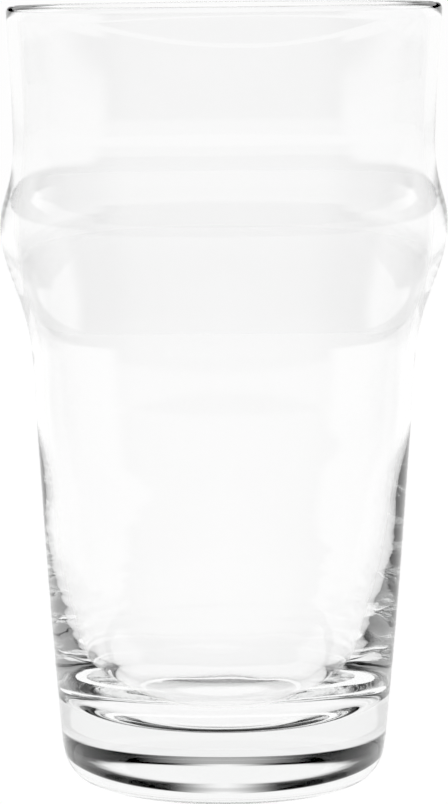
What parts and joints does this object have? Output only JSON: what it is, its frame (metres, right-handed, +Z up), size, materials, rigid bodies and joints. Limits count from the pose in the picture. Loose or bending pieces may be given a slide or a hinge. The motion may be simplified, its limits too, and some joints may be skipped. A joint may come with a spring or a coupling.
{
  "type": "pint glass",
  "caption": "Tall clear drinking glass with a bulge below the rim, a tapering body, a deep round bowl inside and a thick round-heeled base.",
  "frame": {"origin": "on the table, at the centre of the standing ring", "axes": "+Z up along the axis of the glass, towards the rim; the glass is round about +Z"},
  "size_m": [0.087, 0.087, 0.1525],
  "materials": {
    "glass": "clear fire-polished soda-lime glass"
  },
  "bodies": {
    "root": {"pint_glass": "glass"}
  },
  "joints": []
}
